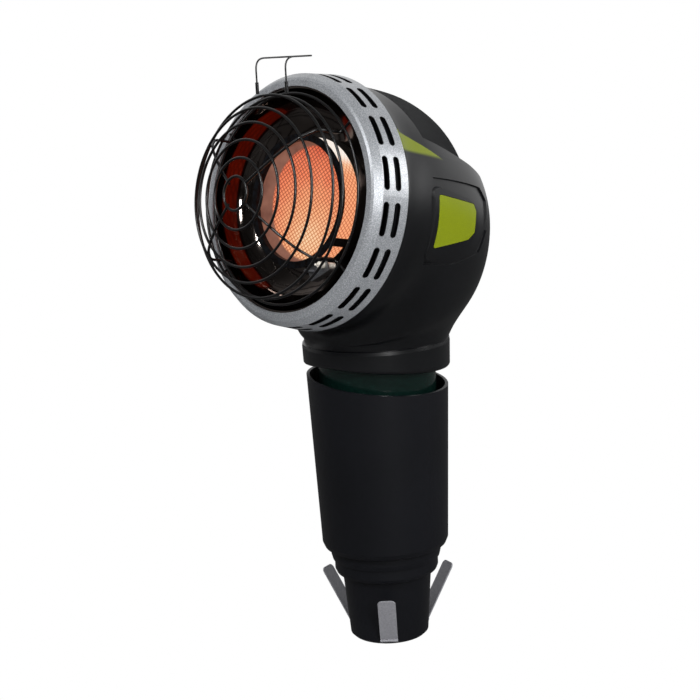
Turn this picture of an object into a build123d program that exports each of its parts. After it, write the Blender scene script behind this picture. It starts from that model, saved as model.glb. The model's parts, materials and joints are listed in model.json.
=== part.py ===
from build123d import *
import os
from math import atan2, cos, radians, sin, sqrt, tan

# Portable propane heater on a cup-holder adapter, in millimetres.
# +Z is up, the head faces -Y, and the origin is the centre of the base's underside.

# ---- driving dimensions -------------------------------------------------------------
# cup-holder plug
plug_foot_radius = 34.0
plug_top_radius = 38.5
plug_top_z = 57.0
plug_edge_round = 2.0
plug_wall = 3.0
lower_ring_radius = 44.8
lower_ring_height = 13.0
upper_ring_radius = 47.5
upper_ring_height = 10.0
ring_edge_round = 4.0
# spring clips of the plug
clip_count = 3
clip_first_angle = -46.8
clip_width = 15.0
clip_thickness = 1.2
clip_height = 54.0
clip_lean = 32.0
clip_pivot_z = 4.0
clip_corner = 4.0
clip_eye_radius = 1.6
clip_foot_offset = 0.5
clip_notch_height = 8.0
# sleeve round the gas cylinder
sleeve_rim_room = 10.5
sleeve_foot_room = 5.0
sleeve_wall = 2.6
sleeve_floor = 3.0
sleeve_height = 147.0
sleeve_rim_slant = 7.0
sleeve_rim_low_angle = 25.0
sleeve_corner = 6.0
# gas cylinder, a standard disposable one pound size
cylinder_radius = 49.5
cylinder_height = 203.0
cylinder_wall = 1.6
cylinder_shoulder = 43.0
shoulder_slope = 70.0
cylinder_foot_height = 14.0
neck_radius = 12.7
neck_height = 18.0
neck_bore = 8.0
foot_ring_drop = 4.0
foot_round = 12.0
relief_radius = 2.5
relief_place = 22.0

# the heater is drawn over a cylinder whose top stands at this height, then moved to the real one
drawn_top_z = 286.3
# head and its axis
head_tilt = 11.1
head_y = -93.0
head_z = 388.0
opening_radius = 89.2
bezel_lip = 4.8
bezel_shoulder = 6.0
bezel_shoulder_depth = 7.0
bezel_flare = 2.9
bezel_depth = 31.3
bezel_wall = 1.6
slot_count = 18
slot_width = 4.0
slot_length = 25.0
slot_row_depths = (10.5, 21.5)
front_twist = 4.0
# wire guard
guard_wire_radius = 1.4
guard_ring_radii = (13.1, 27.6, 41.7, 55.6, 67.5, 78.6, 78.8, 83.0)
guard_ring_reach = (52.0, 49.2, 45.6, 41.0, 35.6, 24.5, 14.5, 2.5)
guard_spoke_angles = (39.0, 141.0, 219.0, 321.0)
weld_gap = 0.1
loop_wire_radius = 1.0
loop_ferrule_radius = 1.7
loop_ferrule_height = 9.0
loop_half_width = 17.0
loop_side = 1.5
loop_top_z = 498.0
loop_run = 32.0
loop_bend = 9.0
# burner
burner_radius = 52.0
burner_front = 13.0
burner_face = 19.0
burner_depth = 24.0
burner_can_depth = 22.0
burner_gap = 0.3
tile_thickness = 10.0
rim_overhang = 1.5
shield_gap = 6.0
burner_sheet = 1.2
reflector_sheet = 1.0
reflector_bow = 12.0
pilot_angle = -62.0
pilot_reach = 12.0
pilot_width = 22.0
pilot_depth = 16.0
pilot_flange = 7.0
pilot_sheet = 1.0
pilot_spread = 6.0
pilot_tip = 7.0
pilot_foot = 27.0
probe_radius = 1.6
electrode_radius = 2.6
mixer_radius = 9.0
mixer_wall = 1.2
# housing
wall = 3.0
collar_draft = 1.2
collar_wall = 4.0
lip_reach = 9.0
knob_z = 318.0
button_y = 76.0
button_stem_radius = 3.0
button_stem_length = 12.0
housing_front_inset = 1.4
section_points = 24
collar_radius = 61.3
collar_bottom_z = 241.5
collar_slant = 5.5
collar_low_angle = 55.0
collar_top_z = 262.0
collar_round = 4.0
handle_half_width = 24.0
insert_floor = 3.0
back_flat_y = 88.0
panel_turn = 18.5
panel_raise = 0.8
panel_draft = 20.0
moat_depth = 1.6
badge_recess = 1.0
badge_corner = 2.5
# regulator and valve
regulator_radius = 24.0
regulator_height = 28.0
valve_radius = 13.0
stem_radius = 4.0
knob_radius = 17.0
knob_height = 15.0
knob_push = 4.0
knob_skirt = 4.0
knob_flutes = 8
grip_bar = 5.0
button_radius = 8.0
button_z = 354.0
button_travel = 5.0
knob_seat = 14.0
valve_back = 58.0
stem_engagement = 24.0
orifice_height = 9.0
bracket_sheet = 2.0
button_face = 96.0
igniter_front = 40.0
igniter_radius = 9.0
inlet_gap = 0.5
seal_thickness = 2.0
# clearances
seat_gap = 0.3
running_gap = 0.05
fit_gap = 0.4

# ---- places worked out from them ----------------------------------------------------
ring_z = plug_top_z + lower_ring_height
sleeve_bottom_z = ring_z + upper_ring_height
sleeve_rim_z = sleeve_bottom_z + sleeve_height
cylinder_z = sleeve_bottom_z + sleeve_floor + seat_gap
cylinder_top_z = cylinder_z + cylinder_height
shoulder_z = cylinder_top_z - cylinder_shoulder
neck_z = cylinder_top_z - neck_height
clip_pivot_r = plug_foot_radius + clip_foot_offset
sleeve_rim_radius = cylinder_radius + sleeve_rim_room
sleeve_foot_radius = cylinder_radius + sleeve_foot_room
bezel_front_radius = opening_radius + bezel_lip
bezel_shoulder_radius = bezel_front_radius + bezel_shoulder
bezel_back_radius = bezel_shoulder_radius + bezel_flare
housing_front_radius = bezel_back_radius - housing_front_inset
tilt = radians(head_tilt)
head_normal = Vector(0, -cos(tilt), sin(tilt))
head_up = Vector(0, sin(tilt), cos(tilt))
head_centre = Vector(0, head_y, head_z)
head_plane = Plane(origin=head_centre, x_dir=(1, 0, 0), z_dir=head_normal)
head_place = head_plane.location
front_place = head_place * Rot(0, 0, front_twist)


def head_point(up, forward, side=0.0):
    """A point given by its height above the head axis and its reach forward of the opening."""
    return head_centre + head_up * up + head_normal * forward + Vector(side, 0, 0)


def turned(points, place=None):
    """A ring or cup turned about local Z from its (radius, height) outline."""
    outline = Polyline(*[(r, 0, z) for r, z in points], close=True)
    ring = revolve(make_face(outline), Axis.Z)
    return ring if place is None else place * ring


def upright(radius, low, high, x=0.0, y=0.0):
    """An upright cylinder between two heights."""
    return Pos(x, y, (low + high) / 2) * Cylinder(radius, high - low)


def along_y(radius, near, far, z, x=0.0):
    """A cylinder along +Y between two places."""
    return Pos(x, (near + far) / 2, z) * Rot(90, 0, 0) * Cylinder(radius, far - near)


def yz_prism(points, half_width):
    """A plate across the object, from its outline in the YZ plane."""
    outline = Polyline(*[(0, y, z) for y, z in points], close=True)
    return extrude(make_face(outline), amount=half_width, dir=(1, 0, 0), both=True)


def save(shape, node):
    """Write one named node."""
    export_step(shape, f"parts/{node}.step")


os.makedirs("parts", exist_ok=True)

# ---- cup-holder adapter -------------------------------------------------------------
def cup_adapter():
    """Tapered plug with two stepped rings on top, hollow from above."""
    outer = turned([
        (0, 0),
        (plug_foot_radius - plug_edge_round, 0),
        (plug_foot_radius, plug_edge_round),
        (plug_top_radius, plug_top_z),
        (lower_ring_radius - ring_edge_round, plug_top_z),
        (lower_ring_radius - 0.3 * ring_edge_round, plug_top_z + 0.3 * ring_edge_round),
        (lower_ring_radius, plug_top_z + ring_edge_round),
        (lower_ring_radius, ring_z),
        (upper_ring_radius - 1, ring_z),
        (upper_ring_radius, ring_z + ring_edge_round),
        (upper_ring_radius, sleeve_bottom_z),
        (0, sleeve_bottom_z),
    ])
    hollow = turned([
        (0, plug_wall),
        (plug_foot_radius - plug_wall, plug_wall),
        (plug_top_radius - plug_wall, plug_top_z),
        (plug_top_radius - plug_wall, sleeve_bottom_z - plug_wall),
        (0, sleeve_bottom_z - plug_wall),
    ])
    body = outer - hollow
    for k in range(clip_count):
        body -= Rot(0, 0, clip_first_angle + 360 / clip_count * k) * clip_notch()
    return body


def clip_notch():
    """The slot at the plug's foot that takes a clip's rolled eye and its leaf when pressed in."""
    eye = clip_eye_radius + seat_gap
    width = clip_width + 2 * fit_gap
    barrel = Pos(clip_pivot_r, 0, clip_pivot_z) * Rot(90, 0, 0) * Cylinder(eye, width)
    leaf_room = Pos(clip_pivot_r - clip_thickness, 0, clip_pivot_z) * Box(
        10, width, clip_notch_height, align=(Align.MIN, Align.CENTER, Align.MIN))
    return barrel + leaf_room


def spring_clip():
    """A flat steel leaf that leans outwards from its rolled eye, with rounded upper corners."""
    leaf = Box(clip_thickness, clip_width, clip_height, align=(Align.CENTER, Align.CENTER, Align.MIN))
    leaf = fillet(leaf.edges().filter_by(Axis.X).group_by(Axis.Z)[-1], clip_corner)
    eye = Rot(90, 0, 0) * Cylinder(clip_eye_radius, clip_width)
    clip = Rot(0, clip_lean, 0) * leaf + eye
    return Pos(clip_pivot_r, 0, clip_pivot_z) * clip


save(cup_adapter(), "cup_adapter")
for k in range(clip_count):
    turn = Rot(0, 0, clip_first_angle + 360 / clip_count * k)
    save(turn * spring_clip(), f"spring_clip_{k + 1}")


def cylinder_sleeve():
    """Tapered tube with a floor, its rim cut on a slant."""
    top = sleeve_rim_z + 20
    grow = (sleeve_rim_radius - sleeve_foot_radius) / (sleeve_rim_z - sleeve_bottom_z)
    top_radius = sleeve_foot_radius + grow * (top - sleeve_bottom_z)
    inner_z = sleeve_bottom_z + sleeve_floor
    outer = turned([
        (0, sleeve_bottom_z),
        (sleeve_foot_radius - sleeve_corner, sleeve_bottom_z),
        (sleeve_foot_radius - 0.3 * sleeve_corner, sleeve_bottom_z + 0.3 * sleeve_corner),
        (sleeve_foot_radius, sleeve_bottom_z + sleeve_corner),
        (top_radius, top),
        (0, top),
    ])
    inner = turned([
        (0, inner_z),
        (sleeve_foot_radius - sleeve_wall, inner_z),
        (top_radius - sleeve_wall, top + 1),
        (0, top + 1),
    ])
    slant = Rot(0, 0, sleeve_rim_low_angle) * Rot(0, sleeve_rim_slant, 0)
    above = Pos(0, 0, sleeve_rim_z) * slant * Box(300, 300, 80, align=(Align.CENTER, Align.CENTER, Align.MIN))
    return outer - inner - above


save(cylinder_sleeve(), "cylinder_sleeve")

# ---- gas cylinder -------------------------------------------------------------------
def cylinder_shell():
    """Drawn steel shell: straight wall, rounded foot, domed shoulder and an open neck."""
    low = cylinder_z + foot_ring_drop
    slope = radians(shoulder_slope)
    rise = cylinder_shoulder - neck_height
    shoulder_round = (rise - (cylinder_radius - neck_radius) / tan(slope)) / (
        sin(slope) - (1 - cos(slope)) / tan(slope))

    def outline(shrink):
        side = cylinder_radius - shrink
        foot = low + shrink
        foot_turn = foot_round - shrink
        turn = shoulder_round - shrink
        bend_r = cylinder_radius - shoulder_round + turn * cos(slope)
        bend_z = shoulder_z + turn * sin(slope)
        top = bend_z + (bend_r - neck_radius) / tan(slope)
        return [
            Line((0, foot), (side - foot_turn, foot)),
            RadiusArc((side - foot_turn, foot), (side, foot + foot_turn), -foot_turn),
            Line((side, foot + foot_turn), (side, shoulder_z)),
            RadiusArc((side, shoulder_z), (bend_r, bend_z), -turn),
            Line((bend_r, bend_z), (neck_radius, top)),
            Line((neck_radius, top), (0, top)),
            Line((0, top), (0, foot)),
        ]

    outer = revolve(make_face(Plane.XZ * Curve(outline(0))), Axis.Z)
    inner = revolve(make_face(Plane.XZ * Curve(outline(cylinder_wall))), Axis.Z)
    relief_hole = upright(relief_radius, shoulder_z, neck_z + relief_radius, relief_place)
    return outer - inner - upright(neck_bore, shoulder_z, neck_z + 1) - relief_hole


def cylinder_neck():
    """Steel neck that carries the outside thread."""
    return turned([
        (neck_bore, cylinder_top_z),
        (neck_radius - 1, cylinder_top_z),
        (neck_radius, cylinder_top_z - 1),
        (neck_radius, neck_z),
        (neck_bore, neck_z),
    ])


foot_ring = turned([
    (cylinder_radius - 12, cylinder_z),
    (cylinder_radius - 3, cylinder_z),
    (cylinder_radius - 1.5, cylinder_z + 3),
    (cylinder_radius - 4, cylinder_z + 3),
    (cylinder_radius - 14, cylinder_z + foot_ring_drop),
    (cylinder_radius - 16, cylinder_z + foot_ring_drop),
])
valve_core = turned([
    (0, neck_z - 6),
    (3.0, neck_z - 6),
    (neck_bore - 0.01, neck_z + 2),
    (neck_bore - 0.01, neck_z + 9),
    (2.5, neck_z + 9),
    (2.5, neck_z + 12),
    (0, neck_z + 12),
])
save(cylinder_shell(), "cylinder_shell")
save(cylinder_neck(), "cylinder_neck")
save(foot_ring, "cylinder_foot_ring")
save(valve_core, "cylinder_valve_core")

# ---- housing ------------------------------------------------------------------------
drawn_neck_z = drawn_top_z - neck_height
heater_lift = Pos(0, 0, cylinder_top_z - drawn_top_z)


def save_heater(shape, node):
    """Write one node of the heater, moved to the height of the cylinder it stands on."""
    save(heater_lift * shape, node)


# Each section runs from a point under the head to a point over it: (y, z) low, (y, z) high,
# half its width, and how square it is (2 is an ellipse).
neck_skin_radius = collar_radius - 1.0
neck_skin_z = collar_top_z - 9.0
housing_front = head_point(0, -bezel_depth - fit_gap)
front_low = housing_front - head_up * housing_front_radius
front_high = housing_front + head_up * housing_front_radius
housing_sections = (
    ((front_low.Y, front_low.Z), (front_high.Y, front_high.Z), housing_front_radius, 2.0),
    ((-72.0, 280.0), (-8.0, 471.0), 99.0, 2.0),
    ((-65.0, 277.0), (38.0, 455.0), 95.5, 2.0),
    ((-61.0, 274.0), (75.0, 428.0), 91.0, 2.05),
    ((-59.0, 271.0), (97.0, 392.0), 86.5, 2.2),
    ((-58.5, 268.0), (102.5, 350.0), 81.0, 2.25),
    ((-59.0, 265.0), (90.0, 304.0), 72.0, 2.15),
    ((-59.5, 262.5), (65.0, 268.0), 62.0, 2.05),
    ((-neck_skin_radius, neck_skin_z + 3.0), (neck_skin_radius, neck_skin_z + 3.0), neck_skin_radius, 2.0),
    ((-neck_skin_radius, neck_skin_z), (neck_skin_radius, neck_skin_z), neck_skin_radius, 2.0),
)


def section_face(low, high, half_width, squareness, grow):
    """One closed section across the housing, grown outwards by the same amount all round."""
    low = Vector(0, *low)
    high = Vector(0, *high)
    middle = (low + high) * 0.5
    rise = (high - low).normalized()
    half_height = (high - low).length / 2 + grow
    half_width = half_width + grow
    power = 2 / squareness
    points = []
    for k in range(section_points):
        angle = radians(360 / section_points * (k + 0.5) - 90)
        across = half_width * abs(cos(angle)) ** power * (1 if cos(angle) > 0 else -1)
        up = half_height * abs(sin(angle)) ** power * (1 if sin(angle) > 0 else -1)
        points.append(middle + rise * up + Vector(across, 0, 0))
    return make_face(Spline(*points, periodic=True))


def housing_form(grow):
    """The housing's outer form, or one parallel to it."""
    return loft([section_face(*section, grow) for section in housing_sections])


# The grip slot runs under the handle, along a line that falls towards the back.
slot_floor = ((-18.0, 431.0), (15.0, 417.0), (45.0, 404.5), (72.0, 391.5), (88.0, 386.0))
slot_back = (94.0, 390.0)
slot_gap = 14.0
slot_mouth_y = -8.0
trough_dip = 8.0
trough_half_width = 26.0
insert_foot = (-18.0, 420.0)
insert_tail = 2.0
far = 130.0


def lowered(points, drop):
    """An outline's points moved down."""
    return [(y, z - drop) for y, z in points]


def slot_cut():
    """What is taken away for the fingers: the slot, the dip in its floor and the space beside the bar."""
    middle = slot_floor[1:-1]
    roof = lowered(middle, -slot_gap)[::-1]
    mouth = (slot_mouth_y, slot_floor[0][1] + 6)
    through = yz_prism([*slot_floor, slot_back, *roof, mouth], far)
    beside = yz_prism([*slot_floor, (far, slot_back[1] + 14), (far, 520.0), (slot_floor[0][0], 520.0)], far)
    tail = (slot_floor[-1][0] - 4, slot_floor[-1][1] + 5)
    inside = lowered(middle, -slot_gap / 2)[::-1]
    trough = yz_prism([(slot_mouth_y, slot_floor[0][1]), *lowered(middle, trough_dip), tail, *inside],
                      trough_half_width)
    bar = Box(2 * handle_half_width, 400, 1200)
    return through + trough + (beside - bar)


def under_floor():
    """The space under the slot's floor, which the hollow of the housing may use."""
    dipped = [slot_floor[0], *lowered(slot_floor[1:-1], trough_dip), slot_floor[-1]]
    floor = lowered(dipped, insert_floor)
    return yz_prism([(-200, floor[0][1]), *floor, (200, floor[-1][1]), (200, 100), (-200, 100)], far)


def insert_blank():
    """The wedge of the housing just under the slot's mouth, which the coloured insert fills."""
    end = slot_floor[2]
    return yz_prism([*slot_floor[:3], (end[0], end[1] - insert_tail), insert_foot], far)


def collar():
    """The round collar at the foot of the housing, its lower edge cut on a slant and rounded."""
    low = collar_bottom_z - 20
    ring = turned([
        (neck_skin_radius - collar_wall, low),
        (collar_radius, low),
        (collar_radius + collar_draft, collar_top_z - collar_round),
        (collar_radius + 0.7 * collar_draft, collar_top_z - 0.3 * collar_round),
        (collar_radius - collar_round, collar_top_z),
        (neck_skin_radius - collar_wall, collar_top_z),
    ])
    slant = Pos(0, 0, collar_bottom_z) * Rot(0, 0, collar_low_angle) * Rot(0, collar_slant, 0)
    below = slant * Box(300, 300, 80, align=(Align.CENTER, Align.CENTER, Align.MAX))
    ring -= below
    outer_edge = ring.faces().sort_by(Axis.Z)[0].outer_wire().edges()
    return fillet(outer_edge, collar_round - 1)


lip_inside = bezel_back_radius - bezel_wall - fit_gap
lip_ring = turned([
    (housing_front_radius - 7, -bezel_depth - 4),
    (housing_front_radius - 7, -bezel_depth + lip_reach),
    (lip_inside - lip_reach * 0.2, -bezel_depth + lip_reach),
    (lip_inside, -bezel_depth - fit_gap),
    (lip_inside, -bezel_depth - 4),
], head_place)


def ahead_of(y):
    """The space in front of an upright plane."""
    return Pos(0, y, 350) * Box(400, 400, 500, align=(Align.CENTER, Align.MAX, Align.CENTER))


outer_form = housing_form(0) & ahead_of(back_flat_y)
inner_form = housing_form(-wall) & ahead_of(back_flat_y - wall)
in_front = ahead_of(slot_floor[0][0] - wall)
hollow = (inner_form & under_floor()) + (inner_form & in_front)
button_surround = along_y(button_radius + fit_gap + 2, button_y - wall, back_flat_y, button_z)
shell = outer_form - hollow + collar() + lip_ring + button_surround
shell = shell - slot_cut() - insert_blank()
shell -= along_y(stem_radius + fit_gap, back_flat_y - wall - 1, back_flat_y + 1, knob_z)
shell -= along_y(button_radius + fit_gap, button_y, back_flat_y + 1, button_z)
shell -= along_y(button_stem_radius + fit_gap, button_y - wall - 1, button_y + 1, button_z)
grip_insert = (insert_blank() & outer_form) - hollow - slot_cut()

# The side panel lies in a plane of its own, turned towards the back: (along it, z).
panel_centre = (88.5, 8.0)
moat_outline = ((-33, 403), (46, 384.5), (56, 373), (47, 351), (32, 335), (-5, 328), (-44, 329.5), (-41, 384))
plateau_outline = ((-34, 394.5), (21, 380), (33, 371), (30, 350), (14, 340.5), (-38.5, 338.5))
badge_outline = ((-29.5, 388), (24, 374.5), (27, 368), (22, 351), (12, 346.5), (-34.5, 345.5))
panel_depth = 25.0


def panel_prism(points, draft=0.0, shrink=0.0):
    """A prism out through the side panel, true to its outline at the panel's own plane."""
    turn = radians(panel_turn)
    outward = Vector(cos(turn), sin(turn), 0)
    start = Vector(panel_centre[0], panel_centre[1], 0) - outward * panel_depth
    place = Plane(origin=start, x_dir=(-sin(turn), cos(turn), 0), z_dir=outward)
    outline = make_face(Polyline(*points, close=True))
    outline = fillet(outline.vertices(), badge_corner)
    grown = panel_depth * tan(radians(draft)) - shrink
    if grown:
        outline = offset(outline, grown)
    return extrude(place * outline, amount=2 * panel_depth, taper=draft)


panel_form = housing_form(panel_raise)
recess_form = housing_form(panel_raise - badge_recess)
moat_form = housing_form(-moat_depth)


def half(side):
    """One half of the housing: a moat in its side, the raised plateau in it and the badge's recess."""
    room = Pos(side * 150, 0, 350) * Box(300, 400, 600)
    moat = panel_prism(moat_outline, -panel_draft) - moat_form
    plateau = (panel_form - inner_form) & panel_prism(plateau_outline, panel_draft)
    badge_cut = panel_prism(badge_outline) - recess_form
    solid = (shell & room) - moat + plateau - badge_cut
    return solid.solids().sort_by(SortBy.VOLUME)[-1]


housing_right = half(1)
badge_seat = housing_form(panel_raise - badge_recess + running_gap)
badge_right = (panel_form - badge_seat) & panel_prism(badge_outline, shrink=fit_gap)
save_heater(housing_right, "housing_right")
save_heater(mirror(housing_right, Plane.YZ), "housing_left")
save_heater(badge_right, "badge_right")
save_heater(mirror(badge_right, Plane.YZ), "badge_left")
save_heater(grip_insert, "grip_insert")

# ---- bezel, guard and reflector -------------------------------------------------------
def bezel_ring():
    """Tapered metal band with a rolled front lip and two rows of slots."""
    skin = turned([
        (opening_radius, 0),
        (bezel_front_radius, 0),
        (bezel_front_radius + 2, -1),
        (bezel_shoulder_radius, -bezel_shoulder_depth),
        (bezel_back_radius, -bezel_depth),
        (bezel_back_radius - bezel_wall, -bezel_depth),
        (bezel_shoulder_radius - bezel_wall, -bezel_shoulder_depth),
        (bezel_front_radius - 1, -bezel_wall),
        (opening_radius, -bezel_wall),
    ])
    cutter = Rot(0, 90, 0) * extrude(Plane.XY * SlotOverall(slot_length, slot_width, rotation=90), amount=12)
    for depth in slot_row_depths:
        for k in range(slot_count):
            angle = 360 / slot_count * (k + 0.5)
            skin -= Rot(0, 0, angle) * Pos(bezel_shoulder_radius - 6, 0, -depth) * cutter
    return front_place * skin


def guard_ring(radius, reach):
    """One round wire ring of the guard."""
    return Pos(0, 0, reach) * Torus(radius, guard_wire_radius)


def bent_wire(points, radius, bend):
    """A round wire along straight runs joined by arcs."""
    path = FilletPolyline(*points, radius=bend)
    return sweep(Plane(origin=path @ 0, z_dir=path % 0) * Circle(radius), path=path)


def guard_spoke(angle):
    """One spoke: it follows the rings' dome from inside and its foot turns out to the bezel's edge."""
    under = 2 * guard_wire_radius + weld_gap
    rings = list(zip(guard_ring_radii, guard_ring_reach))
    dome = []
    for k in range(5):
        before = rings[max(k - 1, 0)]
        after = rings[k + 1 if k < 4 else k]
        lean = atan2(before[1] - after[1], after[0] - before[0])
        dome.append((rings[k][0] - under * sin(lean), 0, rings[k][1] - under * cos(lean)))
    side_r = rings[5][0] - under
    foot_z = rings[7][1] - under
    path = Spline(*dome, (side_r, 0, rings[5][1]), tangents=[(1, 0, -0.1), (0, 0, -1)])
    path += FilletPolyline(
        (side_r, 0, rings[5][1]), (side_r, 0, foot_z), (opening_radius - weld_gap, 0, foot_z), radius=4)
    wire = sweep(Plane(origin=path @ 0, z_dir=path % 0) * Circle(guard_wire_radius), path=path)
    return Rot(0, 0, angle) * wire


def wire_guard():
    """The welded guard, wire by wire: eight rings and four spokes."""
    wires = [guard_ring(r, z) for r, z in zip(guard_ring_radii, guard_ring_reach)]
    wires += [guard_spoke(angle) for angle in guard_spoke_angles]
    return Compound(children=[front_place * wire for wire in wires])


def hanging_loop():
    """A thin wire loop over the head, its two legs crimped in ferrules that stand on a guard ring."""
    ring_r = guard_ring_radii[5]
    over = guard_wire_radius + weld_gap + loop_ferrule_radius * loop_half_width / ring_r
    left = loop_side - loop_half_width
    right = loop_side + loop_half_width
    seats = [
        head_place * Pos(x, sqrt((ring_r + over) ** 2 - x ** 2), guard_ring_reach[5])
        for x in (left, right)]
    leg_y = seats[0].position.Y
    loop = bent_wire([
        (left, leg_y, seats[0].position.Z),
        (left, leg_y, loop_top_z),
        (left, leg_y + loop_run, loop_top_z),
        (right, leg_y + loop_run, loop_top_z),
        (right, leg_y, loop_top_z),
        (right, leg_y, seats[1].position.Z),
    ], loop_wire_radius, loop_bend)
    for x, seat in zip((left, right), seats):
        loop += upright(loop_ferrule_radius, seat.position.Z, seat.position.Z + loop_ferrule_height, x, leg_y)
    return loop


burner_back = burner_depth + burner_can_depth


def bowed(start, end, bow):
    """An arc between two (radius, depth) points that bows outwards and back."""
    run, drop = end[0] - start[0], end[1] - start[1]
    length = sqrt(run ** 2 + drop ** 2)
    middle = ((start[0] + end[0]) / 2 - drop / length * bow, (start[1] + end[1]) / 2 + run / length * bow)
    return ThreePointArc(start, middle, end)


def reflector():
    """Polished bowl, from its flange under the bezel's lip down a curved wall to the burner."""
    t = reflector_sheet
    rim_z = -bezel_wall - seat_gap
    rim_r = opening_radius + 1.5
    lip = (opening_radius - 1.5, rim_z)
    foot = (burner_radius + burner_gap, -burner_back + 6)
    lip_back = (lip[0] + t, rim_z - t)
    foot_back = (foot[0], foot[1] - t)
    skin = [
        Line((rim_r, rim_z), lip),
        bowed(lip, foot, reflector_bow),
        Line(foot, foot_back),
        bowed(lip_back, foot_back, reflector_bow),
        Line(lip_back, (rim_r, rim_z - t)),
        Line((rim_r, rim_z - t), (rim_r, rim_z)),
    ]
    return head_place * revolve(make_face(Plane.XZ * Curve(skin)), Axis.Z)


def burner_can():
    """Pressed steel plenum that feeds the burner, open in front, with an inlet behind."""
    t = burner_sheet
    r = burner_radius
    can = turned([
        (mixer_radius, -burner_back),
        (r - 6, -burner_back),
        (r, -burner_back + 6),
        (r, -burner_front),
        (r - t, -burner_front),
        (r - t, -burner_back + 6 + 0.6),
        (r - 6 - 0.4, -burner_back + t),
        (mixer_radius, -burner_back + t),
    ], head_place)
    return can


tile_radius = burner_radius - burner_sheet - running_gap * 2
burner_tile = turned([
    (0, -burner_face - tile_thickness),
    (tile_radius, -burner_face - tile_thickness),
    (tile_radius, -burner_face),
    (0, -burner_face),
], head_place)
burner_screen = turned([
    (0, -burner_face + 1.5),
    (tile_radius, -burner_face + 1.5),
    (tile_radius, -burner_face + 2.5),
    (0, -burner_face + 2.5),
], head_place)
burner_rim = turned([
    (burner_radius - 4, -burner_face + 2.5),
    (tile_radius, -burner_face + 2.5),
    (tile_radius, -burner_front),
    (burner_radius + rim_overhang, -burner_front),
    (burner_radius + rim_overhang, -burner_front + 1.2),
    (burner_radius - 4, -burner_front + 1.2),
], head_place)
heat_shield = turned([
    (mixer_radius + seat_gap, -burner_back - shield_gap),
    (burner_radius + 20, -burner_back - shield_gap),
    (opening_radius, -bezel_depth + 4),
    (opening_radius + 1, -bezel_depth + 4),
    (burner_radius + 21, -burner_back - shield_gap - 1),
    (mixer_radius + seat_gap, -burner_back - shield_gap - 1),
], head_place)


def pilot_rod(radius, near, far, side):
    """A rod of the pilot set, parallel to the head axis, between two depths behind the opening."""
    rod = Cylinder(radius, far - near)
    return pilot_place * Pos(pilot_r, side * pilot_spread, -(near + far) / 2) * rod


# The pilot set stands in the bowl beside the burner: a sheet bracket, a flame probe and a spark electrode.
pilot_place = head_place * Rot(0, 0, pilot_angle)
pilot_seat = burner_radius + seat_gap
pilot_r = pilot_seat + pilot_reach / 2
pilot_bracket = pilot_place * Pos(pilot_r, 0, -pilot_depth) * Box(pilot_reach, pilot_width, pilot_sheet)
pilot_bracket += pilot_place * Pos(pilot_seat + pilot_reach, 0, -pilot_depth - pilot_flange / 2) * Box(
    pilot_sheet, pilot_width, pilot_flange + pilot_sheet)
pilot_bracket -= pilot_rod(probe_radius + seat_gap, 0, burner_back, -1)
pilot_bracket -= pilot_rod(electrode_radius + seat_gap, 0, burner_back, 1)
flame_probe = pilot_rod(probe_radius, pilot_tip, pilot_foot, -1)
spark_electrode = pilot_rod(electrode_radius, pilot_tip + 4, pilot_foot, 1)
spark_electrode += pilot_rod(electrode_radius / 3, pilot_tip, pilot_tip + 4, 1)
save_heater(bezel_ring(), "bezel_ring")
save_heater(wire_guard(), "wire_guard")
save_heater(hanging_loop(), "hanging_loop")
save_heater(reflector(), "reflector")
save_heater(burner_can(), "burner_can")
save_heater(burner_tile, "burner_tile")
save_heater(burner_screen, "burner_screen")
save_heater(burner_rim, "burner_rim")
save_heater(heat_shield, "heat_shield")
save_heater(pilot_bracket, "pilot_bracket")
save_heater(flame_probe, "flame_probe")
save_heater(spark_electrode, "spark_electrode")

# ---- gas train --------------------------------------------------------------------------
regulator_z = drawn_neck_z + 4
regulator_top = regulator_z + regulator_height
regulator = turned([
    (neck_radius + running_gap, regulator_z),
    (regulator_radius - 2, regulator_z),
    (regulator_radius, regulator_z + 2),
    (regulator_radius, regulator_top - 6),
    (regulator_radius - 6, regulator_top),
    (0, regulator_top),
    (0, drawn_top_z + inlet_gap + seal_thickness),
    (neck_radius + running_gap, drawn_top_z + inlet_gap + seal_thickness),
])
inlet_seal = turned([
    (3.0, drawn_top_z + inlet_gap),
    (neck_radius - 1, drawn_top_z + inlet_gap),
    (neck_radius - 1, drawn_top_z + inlet_gap + seal_thickness),
    (3.0, drawn_top_z + inlet_gap + seal_thickness),
])
bracket_rim = neck_skin_radius - collar_wall - seat_gap
bracket_z = collar_top_z - 5
mount_bracket = turned([
    (bracket_rim, bracket_z),
    (bracket_rim, bracket_z + bracket_sheet),
    (bracket_rim - 6, bracket_z + bracket_sheet),
    (regulator_radius + seat_gap + 3, regulator_z + 4),
    (regulator_radius + seat_gap, regulator_z + 4),
    (regulator_radius + seat_gap, regulator_z + 4 - bracket_sheet),
    (regulator_radius + seat_gap + 2, regulator_z + 4 - bracket_sheet),
    (bracket_rim - 6, bracket_z),
])
valve_front = -16.0
orifice_radius = 4.5
orifice_z = knob_z + valve_radius
valve_body = along_y(valve_radius, valve_front, valve_back, knob_z)
valve_body += upright(valve_radius - 3, regulator_top, knob_z)
valve_body -= along_y(stem_radius + running_gap, valve_back - stem_engagement, valve_back + 1, knob_z)
valve_body -= upright(orifice_radius + running_gap, orifice_z - 2, orifice_z + orifice_height)
gas_orifice = upright(orifice_radius, orifice_z - 2, orifice_z + orifice_height)
stem_foot = valve_back - stem_engagement + knob_push + 1
valve_stem = along_y(stem_radius, stem_foot, back_flat_y + knob_seat, knob_z)

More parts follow.
